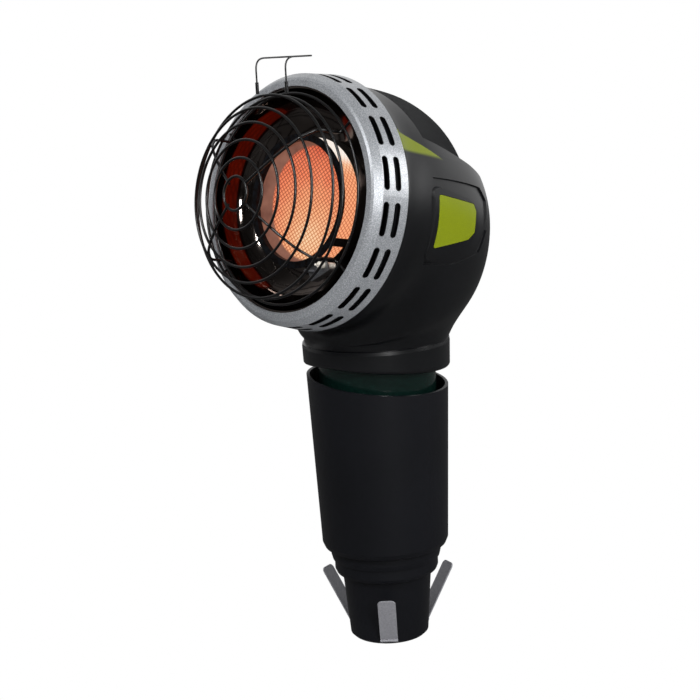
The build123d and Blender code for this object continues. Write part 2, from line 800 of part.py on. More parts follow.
knob_back = back_flat_y + knob_push + seat_gap
knob_front = back_flat_y + knob_push + knob_height
knob = along_y(knob_radius, knob_back, knob_back + knob_skirt, knob_z)
knob += along_y(knob_radius - 2.5, knob_back + knob_skirt, knob_front, knob_z)
knob += Pos(0, knob_front, knob_z) * Box(
    grip_bar, knob_height - knob_skirt, 2 * knob_radius - 4, align=(Align.CENTER, Align.MAX, Align.CENTER))
for k in range(knob_flutes):
    around = Pos(0, 0, knob_z) * Rot(0, 360 / knob_flutes * (k + 0.5), 0) * Pos(0, 0, knob_radius - 1.5)
    knob -= around * along_y(2.0, knob_back + knob_skirt, knob_front + 1, 0)
knob -= along_y(stem_radius, back_flat_y, back_flat_y + knob_seat, knob_z)

elbow = head_point(0, head_y / cos(tilt))
plenum_mouth = head_point(0, -burner_back + 3)
mixer_low = Vector(0, 0, orifice_z + orifice_height + seat_gap)
mixer_path = FilletPolyline(mixer_low, elbow, plenum_mouth, radius=16)
mixer_start = Plane(origin=mixer_path @ 0, z_dir=mixer_path % 0)
mixer_tube = sweep(mixer_start * Circle(mixer_radius - running_gap), path=mixer_path) - sweep(
    mixer_start * Circle(mixer_radius - mixer_wall), path=mixer_path)

button_foot = button_y - button_stem_length
button = along_y(button_radius, button_y + button_travel + seat_gap, button_face, button_z)
button += along_y(button_stem_radius, button_foot, button_y + button_travel + 1, button_z)
igniter_back = button_y - wall - seat_gap
igniter = along_y(igniter_radius, igniter_front, igniter_back, button_z)
button_bore = button_stem_radius + running_gap
igniter -= along_y(button_bore, button_foot - button_travel - 1, igniter_back + 1, button_z)
save_heater(regulator, "regulator")
save_heater(inlet_seal, "inlet_seal")
save_heater(mount_bracket, "mount_bracket")
save_heater(valve_body, "control_valve")
save_heater(valve_stem, "valve_stem")
save_heater(knob, "control_knob")
save_heater(gas_orifice, "gas_orifice")
save_heater(mixer_tube, "mixer_tube")
save_heater(button, "igniter_button")
save_heater(igniter, "igniter_body")
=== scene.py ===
import json
import math

import bpy
import numpy as np
from mathutils import Matrix, Vector


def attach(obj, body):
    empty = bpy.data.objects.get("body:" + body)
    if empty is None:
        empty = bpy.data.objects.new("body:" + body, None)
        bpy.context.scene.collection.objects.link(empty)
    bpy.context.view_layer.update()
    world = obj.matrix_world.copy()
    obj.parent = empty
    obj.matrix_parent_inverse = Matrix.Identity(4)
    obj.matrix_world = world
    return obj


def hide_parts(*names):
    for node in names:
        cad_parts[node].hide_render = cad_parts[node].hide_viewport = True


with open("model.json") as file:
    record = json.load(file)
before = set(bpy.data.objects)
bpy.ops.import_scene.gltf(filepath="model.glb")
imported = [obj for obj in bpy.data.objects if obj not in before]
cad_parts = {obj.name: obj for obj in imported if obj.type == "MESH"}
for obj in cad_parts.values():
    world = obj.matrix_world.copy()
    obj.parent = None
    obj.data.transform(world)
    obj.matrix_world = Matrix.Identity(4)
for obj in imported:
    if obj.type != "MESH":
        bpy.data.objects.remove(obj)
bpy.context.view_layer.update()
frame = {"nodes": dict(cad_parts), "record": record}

nodes = frame["nodes"]
scene = bpy.context.scene
print("frame loaded:", len(nodes), "nodes")


def linearColour(hexColour):
    # sRGB hex to linear light: c/12.92 below 0.04045, else ((c + 0.055)/1.055)^2.4
    parts = [int(hexColour[i:i + 2], 16) / 255 for i in (1, 3, 5)]
    return tuple(c / 12.92 if c <= 0.04045 else ((c + 0.055) / 1.055) ** 2.4 for c in parts) + (1.0,)


def addNode(tree, kind, settings=None, inputs=None, links=None):
    # one shader node: settings are its own properties, inputs fixed socket values, links (node, output) pairs
    node = tree.nodes.new(kind)
    for name, value in (settings or {}).items():
        setattr(node, name, value)
    for name, value in (inputs or {}).items():
        node.inputs[name].default_value = value
    for name, (source, output) in (links or {}).items():
        tree.links.new(source.outputs[output], node.inputs[name])
    return node


def colourRamp(tree, source, output, stops):
    # a ramp from a list of (place, hex colour)
    ramp = addNode(tree, "ShaderNodeValToRGB", links={"Fac": (source, output)})
    elements = ramp.color_ramp.elements
    while len(elements) < len(stops):
        elements.new(0.5)
    for element, (place, colour) in zip(elements, stops):
        element.position = place
        element.color = linearColour(colour)
    return ramp


def newMaterial(name, **sockets):
    # a Principled material; sockets are given by their own names with _ for a blank
    material = bpy.data.materials.new(name)
    material.use_nodes = True
    shader = material.node_tree.nodes["Principled BSDF"]
    for socket, value in sockets.items():
        shader.inputs[socket.replace("_", " ")].default_value = value
    return material, material.node_tree, shader


def grainBump(tree, shader, grainSize, strength, depth, detail=3.0):
    # a fine noise whose cells are grainSize metres wide, as the height of a bump
    coords = addNode(tree, "ShaderNodeTexCoord")
    noise = addNode(tree, "ShaderNodeTexNoise", inputs={"Scale": 1 / grainSize, "Detail": detail},
                    links={"Vector": (coords, "Object")})
    bump = addNode(tree, "ShaderNodeBump", inputs={"Strength": strength, "Distance": depth},
                   links={"Height": (noise, "Fac")})
    tree.links.new(bump.outputs["Normal"], shader.inputs["Normal"])
    return noise, coords


def grainedMaterial(name, grain, stops, detail=3.0, **sockets):
    # the plain finishes: grain = (cell size, bump strength, bump depth), colour = the ramp by the same noise
    material, tree, shader = newMaterial(name, **sockets)
    noise, coords = grainBump(tree, shader, *grain, detail=detail)
    tone = colourRamp(tree, noise, "Fac", stops)
    tree.links.new(tone.outputs["Color"], shader.inputs["Base Color"])
    return material


def meshFrom(name, vertices, faces):
    mesh = bpy.data.meshes.new(name)
    mesh.from_pydata(np.asarray(vertices, float).tolist(), [], np.asarray(faces, int).tolist())
    mesh.update()
    mesh.shade_smooth()
    piece = bpy.data.objects.new(name, mesh)
    scene.collection.objects.link(piece)
    return piece


camera = {
    "azimuth": 45.89,      # degrees round from the front, towards the object's +X side
    "elevation": 11.2,
    "distance": 1.26882,
    "side": -0.02223,      # the aim point, to the right of the upright axis
    "height": 0.252,
    "roll": -2.99,
    "lens": 77.06,
}


def addCamera(settings):
    azimuth, elevation = math.radians(settings["azimuth"]), math.radians(settings["elevation"])
    back = Vector((math.sin(azimuth) * math.cos(elevation), -math.cos(azimuth) * math.cos(elevation),
                   math.sin(elevation)))
    level = Vector((math.cos(azimuth), math.sin(azimuth), 0))
    upright = back.cross(level)
    roll = math.radians(settings["roll"])
    right = level * math.cos(roll) + upright * math.sin(roll)
    up = upright * math.cos(roll) - level * math.sin(roll)
    place = level * settings["side"] + Vector((0, 0, settings["height"])) + back * settings["distance"]
    data = bpy.data.cameras.new("camera")
    data.lens = settings["lens"]
    data.sensor_width = 36
    data.clip_start = 0.05
    data.clip_end = 50
    eye = bpy.data.objects.new("camera", data)
    eye.matrix_world = Matrix((
        (right.x, up.x, back.x, place.x),
        (right.y, up.y, back.y, place.y),
        (right.z, up.z, back.z, place.z),
        (0, 0, 0, 1)))
    scene.collection.objects.link(eye)
    scene.camera = eye


def addSoftbox(name, place, aim, size, power):
    data = bpy.data.lights.new(name, "AREA")
    data.shape = "RECTANGLE"
    data.size, data.size_y = size
    data.energy = power
    lamp = bpy.data.objects.new(name, data)
    lamp.location = place
    lamp.rotation_euler = (Vector(aim) - Vector(place)).to_track_quat("-Z", "Y").to_euler()
    scene.collection.objects.link(lamp)


studio = {
    "fill": 0.55,         # light from all round on plain surfaces
    "room": 0.035,        # what shiny surfaces see of the dark room in front
    "backdrop": 0.75,     # what shiny surfaces see of the white wall behind
    "backdropWay": (-0.718, 0.696, 0.0),
    "floorMirrored": 0.09,
    "wall": "#FFFFFF",    # what the camera sees behind the object
    "floorTint": "#EDEDEE",
    "floorHalf": 6.0,
    "floorDrop": 0.0005,
}


def addWorld(settings):
    # plain surfaces get the fill from all round; glossy rays get room + (backdrop - room) * smoothstep of how far
    # they point towards the wall behind; the camera and clear rays see the wall's own white
    world = bpy.data.worlds.new("studio")
    world.use_nodes = True
    scene.world = world
    tree = world.node_tree
    tree.nodes.clear()
    path = addNode(tree, "ShaderNodeLightPath")
    seen = addNode(tree, "ShaderNodeMath", {"operation": "MAXIMUM"},
                   links={0: (path, "Is Camera Ray"), 1: (path, "Is Transmission Ray")})
    fill = addNode(tree, "ShaderNodeBackground", inputs={"Strength": settings["fill"]})
    mirrored = addNode(tree, "ShaderNodeBackground")
    coords = addNode(tree, "ShaderNodeTexCoord")
    facing = addNode(tree, "ShaderNodeVectorMath", {"operation": "DOT_PRODUCT"},
                     inputs={1: settings["backdropWay"]}, links={0: (coords, "Generated")})
    reach = addNode(tree, "ShaderNodeMapRange", {"interpolation_type": "SMOOTHSTEP"},
                    inputs={"From Min": -0.15, "From Max": 0.75, "To Min": settings["room"],
                            "To Max": settings["backdrop"]}, links={"Value": (facing, "Value")})
    tree.links.new(reach.outputs["Result"], mirrored.inputs["Strength"])
    wall = addNode(tree, "ShaderNodeBackground", inputs={"Color": linearColour(settings["wall"])})
    for light in (fill, mirrored):
        light.inputs["Color"].default_value = (1, 1, 1, 1)
    soft = addNode(tree, "ShaderNodeMixShader",
                   links={0: (path, "Is Glossy Ray"), 1: (fill, 0), 2: (mirrored, 0)})
    mix = addNode(tree, "ShaderNodeMixShader", links={0: (seen, 0), 1: (soft, 0), 2: (wall, 0)})
    addNode(tree, "ShaderNodeOutputWorld", links={"Surface": (mix, 0)})


def addFloor(settings):
    # a pale painted floor: plain white to the camera, a dim sheet to shiny surfaces, a pale bounce to the rest
    material, tree, shader = newMaterial("paintedStudioFloor", Roughness=0.9)
    shader.inputs["Base Color"].default_value = linearColour(settings["floorTint"])
    shader.inputs["Specular IOR Level"].default_value = 0.1
    path = addNode(tree, "ShaderNodeLightPath")
    white = addNode(tree, "ShaderNodeEmission", inputs={"Color": linearColour(settings["wall"]), "Strength": 1.0})
    dim = addNode(tree, "ShaderNodeEmission",
                  inputs={"Color": (1, 1, 1, 1), "Strength": settings["floorMirrored"]})
    soft = addNode(tree, "ShaderNodeMixShader", links={0: (path, "Is Glossy Ray"), 1: (shader, 0), 2: (dim, 0)})
    mix = addNode(tree, "ShaderNodeMixShader", links={0: (path, "Is Camera Ray"), 1: (soft, 0), 2: (white, 0)})
    tree.links.new(mix.outputs[0], tree.nodes["Material Output"].inputs["Surface"])
    half, low = settings["floorHalf"], -settings["floorDrop"]
    corners = [(-half, -half, low), (half, -half, low), (half, half, low), (-half, half, low)]
    floor = meshFrom("floor", corners, [(0, 1, 2, 3)])
    floor.data.materials.append(material)


def around(azimuth, elevation, distance, height=0.3):
    # a place on a sphere round the object, the azimuth counted from the front towards +X
    a, e = math.radians(azimuth), math.radians(elevation)
    return (distance * math.sin(a) * math.cos(e), -distance * math.cos(a) * math.cos(e),
            height + distance * math.sin(e))


scene.view_settings.view_transform = "Standard"
addCamera(camera)
addWorld(studio)
addFloor(studio)
addSoftbox("keyBox", around(16, 40, 1.7), (0, 0, 0.36), (0.22, 0.22), 14)
addSoftbox("shoulderBox", around(63, 20, 1.8), (0, 0, 0.38), (0.12, 0.6), 18)
addSoftbox("sideBox", around(125, 22, 1.7), (0, 0, 0.36), (0.5, 0.8), 11)
print("camera, lights and floor placed")


def mouldedBlackPolypropylene():
    # polypropylene, moulded with a fine satin skin: black with a grey-blue sheen, a little duller than the ABS
    material, tree, shader = newMaterial("mouldedBlackPolypropylene", Roughness=0.4, IOR=1.49)
    shader.inputs["Specular IOR Level"].default_value = 0.32
    noise, coords = grainBump(tree, shader, 0.0005, 0.08, 0.00015)
    patches = addNode(tree, "ShaderNodeTexNoise", inputs={"Scale": 9.0, "Detail": 3.0},
                      links={"Vector": (coords, "Object")})
    tone = colourRamp(tree, patches, "Fac", [(0.3, "#090A0E"), (0.7, "#0D0E13")])
    tree.links.new(tone.outputs["Color"], shader.inputs["Base Color"])
    return material


def mouldedLimeAbs():
    # ABS coloured through, gloss moulded: a clear yellow green with a slightly darker, greener depth
    return grainedMaterial("mouldedLimeAbs", (0.0009, 0.06, 0.0002), [(0.3, "#687202"), (0.7, "#727E06")],
                           Roughness=0.3, IOR=1.53, Specular_IOR_Level=0.25)


def enamelledWire():
    # steel wire under baked black enamel: smooth, semi gloss, in two near blacks
    return grainedMaterial("enamelledWire", (0.0012, 0.1, 0.0001), [(0.3, "#020203"), (0.7, "#060607")],
                           Roughness=0.3, IOR=1.52)


def darkenedMirrorSteel():
    # stainless sheet, spun and polished: a clear mirror with its colour darkened to brown grey, which paints its
    # reflections dark, with long faint waves
    return grainedMaterial("darkenedMirrorSteel", (0.03, 0.05, 0.002), [(0.35, "#5E5652"), (0.65, "#726A66")],
                           detail=1.0, Metallic=1.0, Roughness=0.07)


def polishedSteel():
    # stainless sheet, pressed and polished: a soft mirror with faint waves
    return grainedMaterial("polishedSteel", (0.01, 0.06, 0.001), [(0.35, "#8E8C90"), (0.65, "#B5B4B8")],
                           detail=1.0, Metallic=1.0, Roughness=0.16)


def plainSteelSheet():
    # cold rolled steel sheet, pressed: dull grey with a fine grain
    return grainedMaterial("plainSteelSheet", (0.001, 0.1, 0.0002), [(0.3, "#7C7D80"), (0.7, "#9B9CA0")],
                           Metallic=1.0, Roughness=0.42)


def springSteel():
    # hardened spring strip, tumbled: mid grey, speckled, hardly shining
    return grainedMaterial("tumbledSpringSteel", (0.0006, 0.25, 0.0002),
                           [(0.32, "#6E6E73"), (0.5, "#8A8A8F"), (0.68, "#A3A3A8")],
                           Metallic=0.35, Roughness=0.55)


def greenEnamel():
    # steel cylinder under dark green stove enamel: deep colour, glossy with slight orange peel
    return grainedMaterial("greenStoveEnamel", (0.003, 0.08, 0.0004), [(0.3, "#041310"), (0.7, "#071B17")],
                           detail=1.0, Roughness=0.2, IOR=1.52)


def turnedBrass():
    # brass rod, turned: warm yellow with a fine grain
    return grainedMaterial("turnedBrass", (0.0008, 0.12, 0.0002), [(0.3, "#A8874A"), (0.7, "#C6A462")],
                           Metallic=1.0, Roughness=0.3)


def nitrileRubber():
    # nitrile rubber, moulded: matte black
    return grainedMaterial("nitrileRubber", (0.0008, 0.2, 0.0002), [(0.3, "#101011"), (0.7, "#19191A")],
                           Roughness=0.8, IOR=1.5)


burnerFace = {
    "tilt": 11.1,         # degrees the head's axis leans up
    "centre": 0.3628,     # height of the head's axis, measured square to it
    "front": 0.166,       # place of the opening's plane, measured back along the axis
    "pitch": 0.0029,      # spacing of the screen's wires
    "wire": 0.22,         # a wire's share of the pitch
    "slants": (33, -50),  # the two ways the wires run, in degrees
    "litCentre": (0.0125, -0.001),
    "litRadius": 0.0452,
    "edge": 0.0012,       # half the soft edge of the lit disc
    "hot": (0.012, -0.030),
    "hotReach": 0.075,
    "glow": 0.95,
}


def combine(tree, first, second, operation="ADD"):
    # a sum, or another sum of two terms; a term is a number or a (node, output) pair
    node = addNode(tree, "ShaderNodeMath", {"operation": operation})
    for k, term in enumerate((first, second)):
        if isinstance(term, tuple):
            tree.links.new(term[0].outputs[term[1]], node.inputs[k])
        else:
            node.inputs[k].default_value = term
    return (node, 0)


def between(tree, value, low, high):
    # 1 where low < value < high
    return combine(tree, combine(tree, value, low, "GREATER_THAN"), combine(tree, value, high, "LESS_THAN"),
                   "MULTIPLY")


def headPlace(tree, settings):
    # (x, depth, y) by the head's own axis: y = Y sin tilt + Z cos tilt - centre,
    # depth = Y cos tilt - Z sin tilt + front
    coords = addNode(tree, "ShaderNodeTexCoord")
    flat = addNode(tree, "ShaderNodeMapping",
                   inputs={"Rotation": (math.radians(settings["tilt"]), 0, 0),
                           "Location": (0, settings["front"], -settings["centre"])},
                   links={"Vector": (coords, "Object")})
    parts = addNode(tree, "ShaderNodeSeparateXYZ", links={"Vector": (flat, "Vector")})
    return (parts, "X"), (parts, "Y"), (parts, "Z")


def distanceFrom(tree, x, y, place):
    # the distance in the head's plane from one place: sqrt((x - a)^2 + (y - b)^2)
    right = combine(tree, x, place[0], "SUBTRACT")
    up = combine(tree, y, place[1], "SUBTRACT")
    square = combine(tree, combine(tree, right, 2.0, "POWER"), combine(tree, up, 2.0, "POWER"))
    return combine(tree, square, 0.5, "POWER")


def screenHatch(tree, x, y, settings):
    # 1 on a wire, 0 between: for each slant, |fract((x sin a - y cos a)/pitch) - 0.5| below half the wire's share
    lines = []
    for slant in settings["slants"]:
        a = math.radians(slant)
        along = combine(tree, combine(tree, x, math.sin(a) / settings["pitch"], "MULTIPLY"),
                     combine(tree, y, math.cos(a) / settings["pitch"], "MULTIPLY"), "SUBTRACT")
        cell = combine(tree, along, 1.0, "FLOORED_MODULO")
        away = combine(tree, cell, 0.5, "SUBTRACT")
        apart = addNode(tree, "ShaderNodeMath", {"operation": "ABSOLUTE"})
        tree.links.new(away[0].outputs[0], apart.inputs[0])
        edge = addNode(tree, "ShaderNodeMapRange", {"interpolation_type": "SMOOTHSTEP"},
                       inputs={"From Min": settings["wire"] / 2 + 0.1, "From Max": settings["wire"] / 2 - 0.1},
                       links={"Value": (apart, 0)})
        lines.append((edge, "Result"))
    return combine(tree, lines[0], lines[1], "MAXIMUM")


def glowingScreen(settings=burnerFace):
    # woven heat-proof wire over a lit ceramic tile. Between the wires peach to orange by distance from the hottest
    # place, on them a deeper red by the same distance, inside the lit disc; round it the unlit tile's pink grey,
    # emitted too as a painted glow
    material, tree, shader = newMaterial("glowingWireScreen", Roughness=0.8)
    x, depth, y = headPlace(tree, settings)
    hatch = screenHatch(tree, x, y, settings)
    fromHot = distanceFrom(tree, x, y, settings["hot"])
    patches = addNode(tree, "ShaderNodeTexNoise", inputs={"Scale": 90.0, "Detail": 2.0},
                      links={"Vector": (addNode(tree, "ShaderNodeTexCoord"), "Object")})
    uneven = combine(tree, (patches, "Fac"), 0.02, "MULTIPLY")
    heat = addNode(tree, "ShaderNodeMapRange", inputs={"From Min": 0.01, "From Max": settings["hotReach"] + 0.01})
    tree.links.new(combine(tree, fromHot, uneven)[0].outputs[0], heat.inputs["Value"])
    bright = colourRamp(tree, heat, "Result",
                        [(0.0, "#FFDCB0"), (0.35, "#FFB682"), (0.7, "#FA8C5E"), (1.0, "#E86A46")])
    deep = colourRamp(tree, heat, "Result",
                      [(0.0, "#D07838"), (0.35, "#B24A20"), (0.7, "#962E14"), (1.0, "#78200E")])
    woven = addNode(tree, "ShaderNodeMix", {"data_type": "RGBA"})
    tree.links.new(hatch[0].outputs[hatch[1]], woven.inputs[0])
    tree.links.new(bright.outputs["Color"], woven.inputs[6])
    tree.links.new(deep.outputs["Color"], woven.inputs[7])
    # painted glow: the unlit tile's pink grey is emitted as well, lit by no lamp
    unlit = colourRamp(tree, patches, "Fac", [(0.3, "#6A3E30"), (0.7, "#8A5A48")])
    ring = distanceFrom(tree, x, y, settings["litCentre"])
    lit = addNode(tree, "ShaderNodeMapRange", {"interpolation_type": "SMOOTHSTEP"},
                  inputs={"From Min": settings["litRadius"] + settings["edge"],
                          "From Max": settings["litRadius"] - settings["edge"]})
    tree.links.new(ring[0].outputs[0], lit.inputs["Value"])
    face = addNode(tree, "ShaderNodeMix", {"data_type": "RGBA"}, links={0: (lit, "Result")})
    tree.links.new(unlit.outputs["Color"], face.inputs[6])
    tree.links.new(woven.outputs[2], face.inputs[7])
    tree.links.new(face.outputs[2], shader.inputs["Emission Color"])
    shader.inputs["Emission Strength"].default_value = settings["glow"]
    shader.inputs["Base Color"].default_value = linearColour("#2A1C18")
    return material


burnerSide = {
    "radius": 0.052,
    "near": 0.0135,       # the glowing band's depths behind the opening
    "far": 0.0285,
    "gap": (-40, -31),    # degrees round the axis where the band is broken
    "covered": (-130, -54),
    "glare": (22, 50),    # degrees between which the glow turns white, a painted glare
    "sideTurn": (-0.004, 0.012),  # places in x between which red turns to peach
    "farGround": "#B42A08",
    "farWires": "#6E1404",
    "skin": 0.0008,       # only what lies this near the outer radius glows
}


def glowingSide(face=burnerFace, settings=burnerSide):
    # the burner's sheet steel can, with a band of glowing screen round its front: the same woven hatch in
    # (radius * angle, depth), peach on the +X side and a painted white glare above the glare's angle, red on the
    # -X side;
    # nothing in the gap and in the covered part, where a bracket hides it
    material, tree, shader = newMaterial("burnerCanSteel", Metallic=1.0, Roughness=0.42)
    x, depth, y = headPlace(tree, face)
    angle = addNode(tree, "ShaderNodeMath", {"operation": "ARCTAN2"},
                    links={0: (y[0], y[1]), 1: (x[0], x[1])})
    arc = combine(tree, (angle, 0), settings["radius"], "MULTIPLY")
    hatch = screenHatch(tree, arc, depth, face)
    glare = addNode(tree, "ShaderNodeMapRange", {"interpolation_type": "SMOOTHSTEP"},
                    inputs={"From Min": math.radians(settings["glare"][0]),
                            "From Max": math.radians(settings["glare"][1])},
                    links={"Value": (angle, 0)})
    # painted glare: both ramps go to white past the glare's angles
    ground = colourRamp(tree, glare, "Result", [(0.0, "#FFB080"), (0.5, "#FFD0A8"), (1.0, "#FFF6EC")])
    wires = colourRamp(tree, glare, "Result", [(0.0, "#C05A34"), (0.5, "#DA8A60"), (1.0, "#F4E4D8")])
    woven = addNode(tree, "ShaderNodeMix", {"data_type": "RGBA"})
    nearSide = addNode(tree, "ShaderNodeMapRange", {"interpolation_type": "SMOOTHSTEP"},
                       inputs={"From Min": settings["sideTurn"][0], "From Max": settings["sideTurn"][1]},
                       links={"Value": x})
    tree.links.new(hatch[0].outputs[hatch[1]], woven.inputs[0])
    for place, ramp, far in ((6, ground, settings["farGround"]), (7, wires, settings["farWires"])):
        sides = addNode(tree, "ShaderNodeMix", {"data_type": "RGBA"}, links={0: (nearSide, "Result")})
        sides.inputs[6].default_value = linearColour(far)
        tree.links.new(ramp.outputs["Color"], sides.inputs[7])
        tree.links.new(sides.outputs[2], woven.inputs[place])
    inBand = between(tree, depth, settings["near"], settings["far"])
    inGap, covered = (between(tree, (angle, 0), *(math.radians(a) for a in settings[part]))
                      for part in ("gap", "covered"))
    shown = combine(tree, combine(tree, 1.0, inGap, "SUBTRACT"), inBand, "MULTIPLY")
    outward = combine(tree, distanceFrom(tree, x, y, (0, 0)), settings["radius"] - settings["skin"],
                      "GREATER_THAN")
    lit = combine(tree, combine(tree, shown, outward, "MULTIPLY"), combine(tree, 1.0, covered, "SUBTRACT"),
                  "MULTIPLY")
    tree.links.new(lit[0].outputs[0], shader.inputs["Emission Strength"])
    tree.links.new(woven.outputs[2], shader.inputs["Emission Color"])
    # the can's own grey, with a painted sheen: lighter where the glare is
    tone = colourRamp(tree, glare, "Result", [(0.3, "#55504E"), (0.7, "#65605E")])
    tree.links.new(tone.outputs["Color"], shader.inputs["Base Color"])
    return material


limeBand = {
    # on the housing's side, by (Y, Z) in metres: between a straight upper edge and a soft lower one, whose fade
    # into the black is painted shade and reflection
    "upper": ((-0.0418, 0.4363), (0.0007, 0.4107)),
    "lower": ((-0.0536, 0.4254), (-0.0071, 0.4145)),
    "innerX": 0.027,      # no lime nearer the middle plane than this
    "frontY": -0.0520,    # nor further forward than this, where the bezel's slots would show it
    # half the width of the painted fade of shade and reflection at the lower edge
    "lowerPaintedFade": 0.0018,
}


def aboveLine(tree, y, z, ends):
    # how far a place lies above the line through two (Y, Z) ends
    slope = (ends[1][1] - ends[0][1]) / (ends[1][0] - ends[0][0])
    along = combine(tree, y, slope, "MULTIPLY")
    rest = combine(tree, z, along, "SUBTRACT")
    return combine(tree, rest, ends[0][1] - slope * ends[0][0], "SUBTRACT")


def limeMask(tree, settings=limeBand):
    # 1 on the lime band: below its upper line, above its lower line with a painted fade, away from the middle and
    #                     behind the bezel
    coords = addNode(tree, "ShaderNodeTexCoord")
    parts = addNode(tree, "ShaderNodeSeparateXYZ", links={"Vector": (coords, "Object")})
    y, z = (parts, "Y"), (parts, "Z")
    under = combine(tree, aboveLine(tree, y, z, settings["upper"]), 0.0, "LESS_THAN")
    soft = addNode(tree, "ShaderNodeMapRange", {"interpolation_type": "SMOOTHSTEP"},
                   inputs={"From Min": -settings["lowerPaintedFade"], "From Max": settings["lowerPaintedFade"]})
    tree.links.new(aboveLine(tree, y, z, settings["lower"])[0].outputs[0], soft.inputs["Value"])
    side = addNode(tree, "ShaderNodeMath", {"operation": "ABSOLUTE"}, links={0: (parts, "X")})
    outer = combine(tree, (side, 0), settings["innerX"], "GREATER_THAN")
    behind = combine(tree, y, settings["frontY"], "GREATER_THAN")
    return combine(tree, combine(tree, under, (soft, "Result"), "MULTIPLY"),
                   combine(tree, outer, behind, "MULTIPLY"), "MULTIPLY")


def mouldedBlackAbs():
    # ABS, injection moulded in a lightly grained tool: satin black with a blue cast, the grip's side in lime,
    # which fades into the black with painted shade and reflection at its lower edge.
    # Colour = black * (1 - band) + lime * band; roughness 0.26 to 0.36 by slow patches
    material, tree, shader = newMaterial("mouldedBlackAbs", IOR=1.53)
    noise, coords = grainBump(tree, shader, 0.0007, 0.08, 0.0002)
    patches = addNode(tree, "ShaderNodeTexNoise", inputs={"Scale": 14.0, "Detail": 2.0},
                      links={"Vector": (coords, "Object")})
    black = colourRamp(tree, patches, "Fac", [(0.3, "#060709"), (0.7, "#0A0B0E")])
    lime = colourRamp(tree, noise, "Fac", [(0.3, "#5C6602"), (0.7, "#687206")])
    band = limeMask(tree)
    tone = addNode(tree, "ShaderNodeMix", {"data_type": "RGBA"})
    tree.links.new(band[0].outputs[0], tone.inputs[0])
    tree.links.new(black.outputs["Color"], tone.inputs[6])
    tree.links.new(lime.outputs["Color"], tone.inputs[7])
    tree.links.new(tone.outputs[2], shader.inputs["Base Color"])
    rough = addNode(tree, "ShaderNodeMapRange", inputs={"To Min": 0.26, "To Max": 0.36},
                    links={"Value": (patches, "Fac")})
    tree.links.new(rough.outputs["Result"], shader.inputs["Roughness"])
    return material


bezelSlots = {
    "twist": 4.0,         # degrees the bezel is turned about the head's axis
    "count": 18,
    "radius": 0.1015,
    "halfRun": 0.0105,    # half the straight part of a slot
    "halfWidth": 0.002,
    "shadow": 0.0008,     # width of the painted shade round a slot
    "rows": (0.0105, 0.0215),
}


def paintedSlotShade(tree, face=burnerFace, settings=bezelSlots):
    # 1 on the painted shade, in a slot or within the shadow's width of it:
    # sqrt(max(|arc| - halfRun, 0)^2 + (depth - row)^2) - halfWidth < shadow, arc counted from the nearest slot
    x, depth, y = headPlace(tree, face)
    angle = addNode(tree, "ShaderNodeMath", {"operation": "ARCTAN2"}, links={0: (y[0], y[1]), 1: (x[0], x[1])})
    step = 2 * math.pi / settings["count"]
    turned = combine(tree, (angle, 0), 2 * math.pi - math.radians(settings["twist"]))
    offset = combine(tree, combine(tree, turned, step, "FLOORED_MODULO"), step / 2, "SUBTRACT")
    size = addNode(tree, "ShaderNodeMath", {"operation": "ABSOLUTE"}, links={0: offset})
    arc = combine(tree, (size, 0), settings["radius"], "MULTIPLY")
    past = combine(tree, combine(tree, arc, settings["halfRun"], "SUBTRACT"), 0.0, "MAXIMUM")
    marks = []
    for row in settings["rows"]:
        across = combine(tree, depth, row, "SUBTRACT")
        square = combine(tree, combine(tree, past, 2.0, "POWER"), combine(tree, across, across, "MULTIPLY"))
        away = combine(tree, square, 0.5, "POWER")
        marks.append(combine(tree, away, settings["halfWidth"] + settings["shadow"], "LESS_THAN"))
    return combine(tree, marks[0], marks[1], "MAXIMUM")


def silverPaintedSteel():
    # pressed steel under silver metallic paint and a clear coat: fine flakes, a sharp highlight over a satin one.
    # Colour = flakes * (1 - slot shade) + black * slot shade, a painted shade in and round each slot; the same
    # mask takes away metal and coat
    material, tree, shader = newMaterial("silverPaintedSteel")
    coords = addNode(tree, "ShaderNodeTexCoord")
    flakes = addNode(tree, "ShaderNodeTexNoise", inputs={"Scale": 1300.0, "Detail": 2.0, "Roughness": 0.7},
                     links={"Vector": (coords, "Object")})
    silver = colourRamp(tree, flakes, "Fac", [(0.3, "#74777B"), (0.52, "#909397"), (0.72, "#BABCC0")])
    edge = paintedSlotShade(tree)
    tone = addNode(tree, "ShaderNodeMix", {"data_type": "RGBA"})
    tree.links.new(edge[0].outputs[0], tone.inputs[0])
    tree.links.new(silver.outputs["Color"], tone.inputs[6])
    # painted shade: black in and round each slot
    tone.inputs[7].default_value = linearColour("#050506")
    tree.links.new(tone.outputs[2], shader.inputs["Base Color"])
    for socket, plain, dark in (("Metallic", 0.45, 0.0), ("Coat Weight", 0.6, 0.0),
                                ("Specular IOR Level", 0.5, 0.05)):
        level = addNode(tree, "ShaderNodeMapRange", inputs={"To Min": plain, "To Max": dark})
        tree.links.new(edge[0].outputs[0], level.inputs["Value"])
        tree.links.new(level.outputs["Result"], shader.inputs[socket])
    shader.inputs["Coat Roughness"].default_value = 0.14
    rough = addNode(tree, "ShaderNodeMapRange", inputs={"To Min": 0.34, "To Max": 0.5},
                    links={"Value": (flakes, "Fac")})
    tree.links.new(rough.outputs["Result"], shader.inputs["Roughness"])
    bump = addNode(tree, "ShaderNodeBump", inputs={"Strength": 0.12, "Distance": 0.0001},
                   links={"Height": (flakes, "Fac")})
    tree.links.new(bump.outputs["Normal"], shader.inputs["Normal"])
    return material


def heatBluedSteel():
    # a rolled steel rim the fire has blued: dark brown going to blue grey in slow patches, satin
    return grainedMaterial("heatBluedSteel", (0.004, 0.05, 0.0002), [(0.35, "#2A211E"), (0.65, "#343840")],
                           Metallic=1.0, Roughness=0.3)


def glazedCeramic():
    # alumina, pressed, fired and glazed: warm white
    return grainedMaterial("glazedAlumina", (0.002, 0.08, 0.0002), [(0.3, "#D2CCC0"), (0.7, "#E4E0D6")],
                           Roughness=0.25, IOR=1.55)


